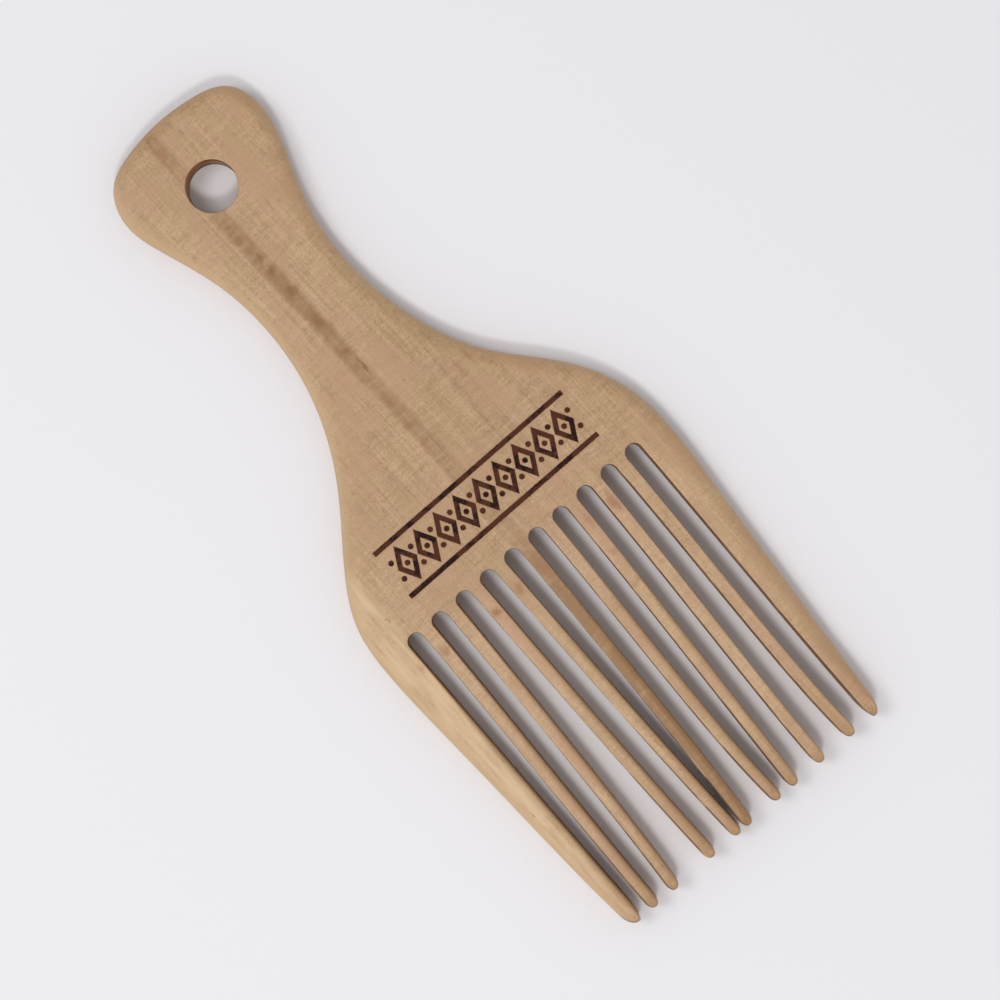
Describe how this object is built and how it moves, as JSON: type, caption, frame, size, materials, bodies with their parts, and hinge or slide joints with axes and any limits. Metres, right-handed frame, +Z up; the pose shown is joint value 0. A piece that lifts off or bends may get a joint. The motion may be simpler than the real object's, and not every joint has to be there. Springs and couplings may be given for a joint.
{
  "type": "wide-tooth hair pick comb",
  "caption": "Flat one-piece wooden detangling pick: flared handle with a round hanging hole, broad curved palm and long parallel teeth with rounded tips.",
  "frame": {"origin": "on the supporting surface, under the middle of the comb's bounding box", "axes": "+Y along the handle, from the teeth to the hanging hole; +X across the teeth; +Z up out of the upper face, square to the flat board"},
  "size_m": [0.0713, 0.1742, 0.008],
  "materials": {
    "pale_hardwood": "sanded and lightly oiled"
  },
  "bodies": {
    "root": {"comb_board": "pale_hardwood"}
  },
  "joints": []
}
